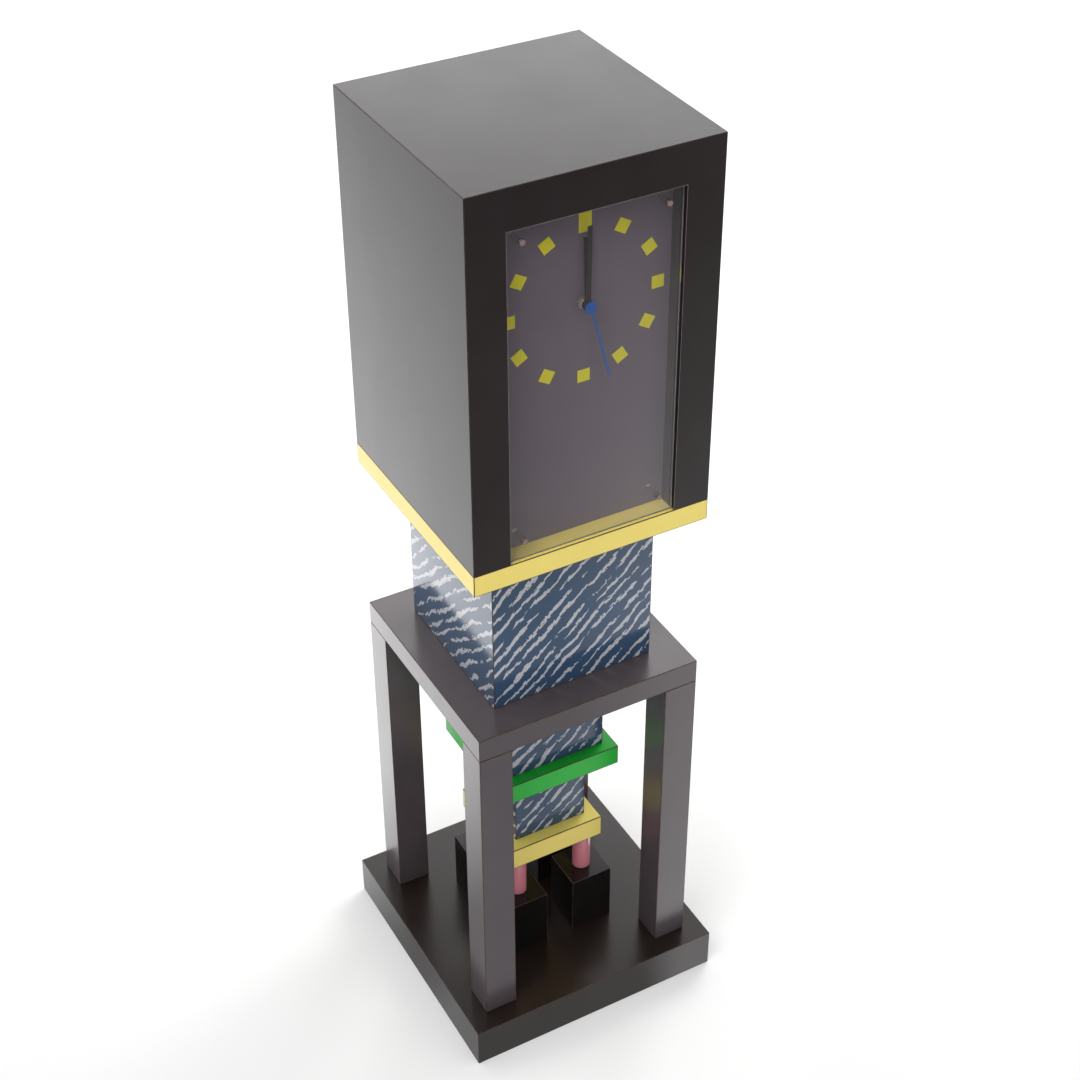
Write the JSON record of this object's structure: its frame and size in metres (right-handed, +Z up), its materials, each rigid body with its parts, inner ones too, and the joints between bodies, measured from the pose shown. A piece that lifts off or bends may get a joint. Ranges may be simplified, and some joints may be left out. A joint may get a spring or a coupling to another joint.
{
  "type": "floor clock",
  "caption": "Tall laminate floor clock: glazed square head with dial and hands on a stacked pedestal of slabs, columns, a legged table, rods and blocks; rear door, battery movement.",
  "frame": {"origin": "centre of the underside of the base plinth, on the floor", "axes": "+Z up, the dial faces -Y, +X to the right seen from the front"},
  "size_m": [0.466, 0.466, 1.6265],
  "materials": {
    "black_laminate": "matt black laminate on board",
    "base_laminate": "black laminate on board",
    "block_gloss_black": "gloss black laminate on board",
    "pink_lacquer": "satin dusty pink lacquer on turned wood",
    "yellow_laminate": "satin yellow laminate on board",
    "blue_laminate": "slate blue laminate with pale grey streaks on board",
    "green_laminate": "satin green laminate on board",
    "grey_laminate": "satin warm grey laminate on board",
    "dial_laminate": "grey laminate with yellow hour squares on board",
    "clear_glass": "clear float glass with polished edges",
    "clear_acrylic": "clear acrylic with a faint pink tint",
    "hand_black": "black painted aluminium",
    "hand_blue": "blue painted aluminium",
    "nickel": "nickel plated brass",
    "hinge_steel": "zinc plated steel",
    "knob_black": "black plastic",
    "catch_white": "white plastic",
    "movement_black": "black plastic",
    "gear_white": "white acetal",
    "gear_brass": "turned brass",
    "motor_steel": "plain steel",
    "coil_copper": "lacquered copper wire",
    "board_green": "glass fibre circuit board",
    "cell_jacket": "plain blue jacket"
  },
  "bodies": {
    "case": {"base_plinth": "base_laminate", "circuit_board": "board_green", "coil": "coil_copper", "contact_negative": "motor_steel", "contact_positive": "motor_steel", "dial_nut": "nickel", "dial_panel": "dial_laminate", "dial_washer": "nickel", "foot_block_back_left": "block_gloss_black", "foot_block_back_right": "block_gloss_black", "foot_block_front_left": "block_gloss_black", "foot_block_front_right": "block_gloss_black", "glass_pane": "clear_glass", "glass_pin_bottom_left": "clear_acrylic", "glass_pin_bottom_right": "clear_acrylic", "glass_pin_top_left": "clear_acrylic", "glass_pin_top_right": "clear_acrylic", "green_slab": "green_laminate", "head_front_frame": "black_laminate", "head_left_panel": "black_laminate", "head_right_panel": "black_laminate", "head_top_panel": "black_laminate", "hinge_frame_leaf": "hinge_steel", "hinge_pin": "hinge_steel", "lower_column": "blue_laminate", "lower_yellow_slab": "yellow_laminate", "magnetic_catch": "catch_white", "middle_column": "blue_laminate", "movement_case": "movement_black", "movement_cover": "movement_black", "rod_back_left": "pink_lacquer", "rod_back_right": "pink_lacquer", "rod_front_left": "pink_lacquer", "rod_front_right": "pink_lacquer", "stator": "motor_steel", "table_leg_back_left": "grey_laminate", "table_leg_back_right": "grey_laminate", "table_leg_front_left": "grey_laminate", "table_leg_front_right": "grey_laminate", "tabletop": "grey_laminate", "train_bridge": "gear_white", "upper_column": "blue_laminate", "upper_yellow_slab": "yellow_laminate"},
    "rear_door": {"rear_door": "black_laminate", "hinge_door_leaf": "hinge_steel", "door_knob": "knob_black", "strike_plate": "hinge_steel"},
    "hour_hand": {"hour_hand": "hand_black", "hour_wheel": "gear_brass"},
    "minute_hand": {"minute_hand": "hand_black", "cannon_pinion": "gear_brass"},
    "second_hand": {"second_hand": "hand_blue", "seconds_wheel": "gear_white"},
    "setting_knob": {"minute_wheel": "gear_white", "setting_knob": "movement_black"},
    "centre_wheel": {"centre_wheel": "gear_white"},
    "third_wheel": {"third_wheel": "gear_white"},
    "reduction_wheel": {"reduction_wheel": "gear_white"},
    "rotor": {"rotor": "motor_steel"},
    "battery": {"battery_cell": "cell_jacket"}
  },
  "joints": [
    {"name": "rear_door_hinge", "type": "hinge", "parent": "case", "child": "rear_door", "pos_m": [-0.18055, 0.2033, 1.31435], "axis": [0, 0, 1], "range_deg": [0, 170]},
    {"name": "minute_hand_turn", "type": "hinge", "parent": "case", "child": "minute_hand", "pos_m": [0, -0.1728, 1.4022], "axis": [0, 1, 0], "continuous": true},
    {"name": "hour_hand_turn", "type": "hinge", "parent": "case", "child": "hour_hand", "pos_m": [0, -0.1693, 1.4022], "axis": [0, 1, 0], "continuous": true},
    {"name": "setting_knob_turn", "type": "hinge", "parent": "case", "child": "setting_knob", "pos_m": [-0.01316, -0.1313, 1.40699], "axis": [0, 1, 0], "continuous": true},
    {"name": "second_hand_turn", "type": "hinge", "parent": "case", "child": "second_hand", "pos_m": [0, -0.17965, 1.4022], "axis": [0, 1, 0], "continuous": true},
    {"name": "third_wheel_turn", "type": "hinge", "parent": "case", "child": "third_wheel", "pos_m": [0.01278, -0.14465, 1.40685], "axis": [0, 1, 0], "continuous": true},
    {"name": "centre_wheel_turn", "type": "hinge", "parent": "case", "child": "centre_wheel", "pos_m": [0, -0.1492, 1.4022], "axis": [0, 1, 0], "continuous": true},
    {"name": "reduction_wheel_turn", "type": "hinge", "parent": "case", "child": "reduction_wheel", "pos_m": [0, -0.1407, 1.4106], "axis": [0, 1, 0], "continuous": true},
    {"name": "rotor_turn", "type": "hinge", "parent": "case", "child": "rotor", "pos_m": [-0.00728, -0.1407, 1.4148], "axis": [0, 1, 0], "continuous": true},
    {"name": "battery_slide", "type": "slide", "parent": "case", "child": "battery", "axis": [0, 1, 0], "range_m": [0, 0.03]}
  ],
  "couplings": [
    {"joint": "setting_knob_turn", "follows": "minute_hand_turn", "ratio": -0.33333},
    {"joint": "hour_hand_turn", "follows": "minute_hand_turn", "ratio": 0.083333},
    {"joint": "third_wheel_turn", "follows": "second_hand_turn", "ratio": -0.125},
    {"joint": "centre_wheel_turn", "follows": "second_hand_turn", "ratio": 0.016667},
    {"joint": "reduction_wheel_turn", "follows": "second_hand_turn", "ratio": -5},
    {"joint": "rotor_turn", "follows": "second_hand_turn", "ratio": 30}
  ]
}
